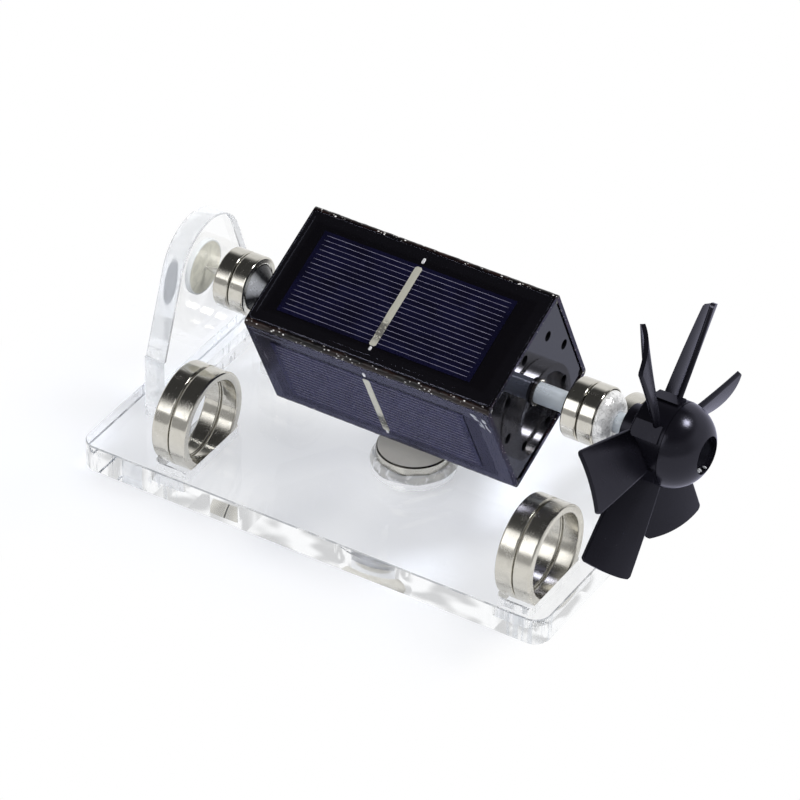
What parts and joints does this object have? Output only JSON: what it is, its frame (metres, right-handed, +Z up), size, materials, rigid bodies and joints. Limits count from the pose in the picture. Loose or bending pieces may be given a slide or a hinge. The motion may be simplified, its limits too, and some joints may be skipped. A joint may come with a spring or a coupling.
{
  "type": "solar powered demonstration motor",
  "caption": "Solar demonstration motor: a box rotor faced with solar cells and a fan floats on ring magnets above a clear base, its pointed shaft resting on an end wall.",
  "frame": {"origin": "centre of the base plate's underside, on the table", "axes": "+X along the shaft towards the fan, +Y to the back, +Z up; the shaft line is 44 mm above the table at y = 0"},
  "size_m": [0.1625, 0.082, 0.0802],
  "materials": {
    "base_acrylic": "clear acrylic, flame-polished edges",
    "wall_acrylic": "clear acrylic, saw-cut and polished edges",
    "thrust_mirror": "polished front face",
    "magnet_nickel": "nickel plated, polished",
    "tube_plastic": "translucent tube, smooth",
    "pin_steel": "ground point",
    "clear_glue": "hot-melt glue, translucent and glossy",
    "dark_glue": "dark potting, glossy",
    "plate_gloss": "black, polished",
    "board": "dark solder mask with cut edges",
    "cell": "dark blue silicon with fine grid lines",
    "busbar": "tinned ribbon",
    "resin": "clear epoxy, high gloss",
    "former": "moulded, satin",
    "coil_wire": "enamelled copper winding",
    "lead_wire": "enamelled copper wire",
    "fan_plastic": "moulded, satin black"
  },
  "bodies": {
    "base": {"base_plate": "base_acrylic", "end_wall": "wall_acrylic", "thrust_disc": "thrust_mirror", "centre_magnet_1": "magnet_nickel", "centre_magnet_2": "magnet_nickel", "centre_magnet_3": "magnet_nickel", "front_left_ring_1": "magnet_nickel", "front_left_ring_2": "magnet_nickel", "front_right_ring_1": "magnet_nickel", "front_right_ring_2": "magnet_nickel", "rear_left_ring_1": "magnet_nickel", "rear_left_ring_2": "magnet_nickel", "rear_right_ring_1": "magnet_nickel", "rear_right_ring_2": "magnet_nickel"},
    "rotor": {"shaft_tube": "tube_plastic", "pivot_pin": "pin_steel", "pin_bush": "clear_glue", "left_shaft_ring_1": "magnet_nickel", "left_shaft_ring_2": "magnet_nickel", "right_shaft_ring_1": "magnet_nickel", "right_shaft_ring_2": "magnet_nickel", "left_bush": "dark_glue", "right_bush": "clear_glue", "left_end_plate": "plate_gloss", "left_plate_collar": "clear_glue", "right_end_plate": "plate_gloss", "right_plate_collar": "clear_glue", "top_panel_board": "board", "top_panel_cell": "cell", "top_panel_busbar": "busbar", "top_panel_resin": "resin", "front_panel_board": "board", "front_panel_cell": "cell", "front_panel_busbar": "busbar", "front_panel_resin": "resin", "bottom_panel_board": "board", "bottom_panel_cell": "cell", "bottom_panel_busbar": "busbar", "bottom_panel_resin": "resin", "rear_panel_board": "board", "rear_panel_cell": "cell", "rear_panel_busbar": "busbar", "rear_panel_resin": "resin", "edge_beads": "dark_glue", "coil_former": "former", "outer_coil": "coil_wire", "inner_coil": "coil_wire", "panel_leads": "lead_wire", "fan_rotor": "fan_plastic", "spinner": "fan_plastic", "nose_glue": "clear_glue"}
  },
  "joints": [
    {"name": "rotor_spin", "type": "hinge", "parent": "base", "child": "rotor", "pos_m": [0.0073, 0, 0.044], "axis": [1, 0, 0], "continuous": true}
  ]
}
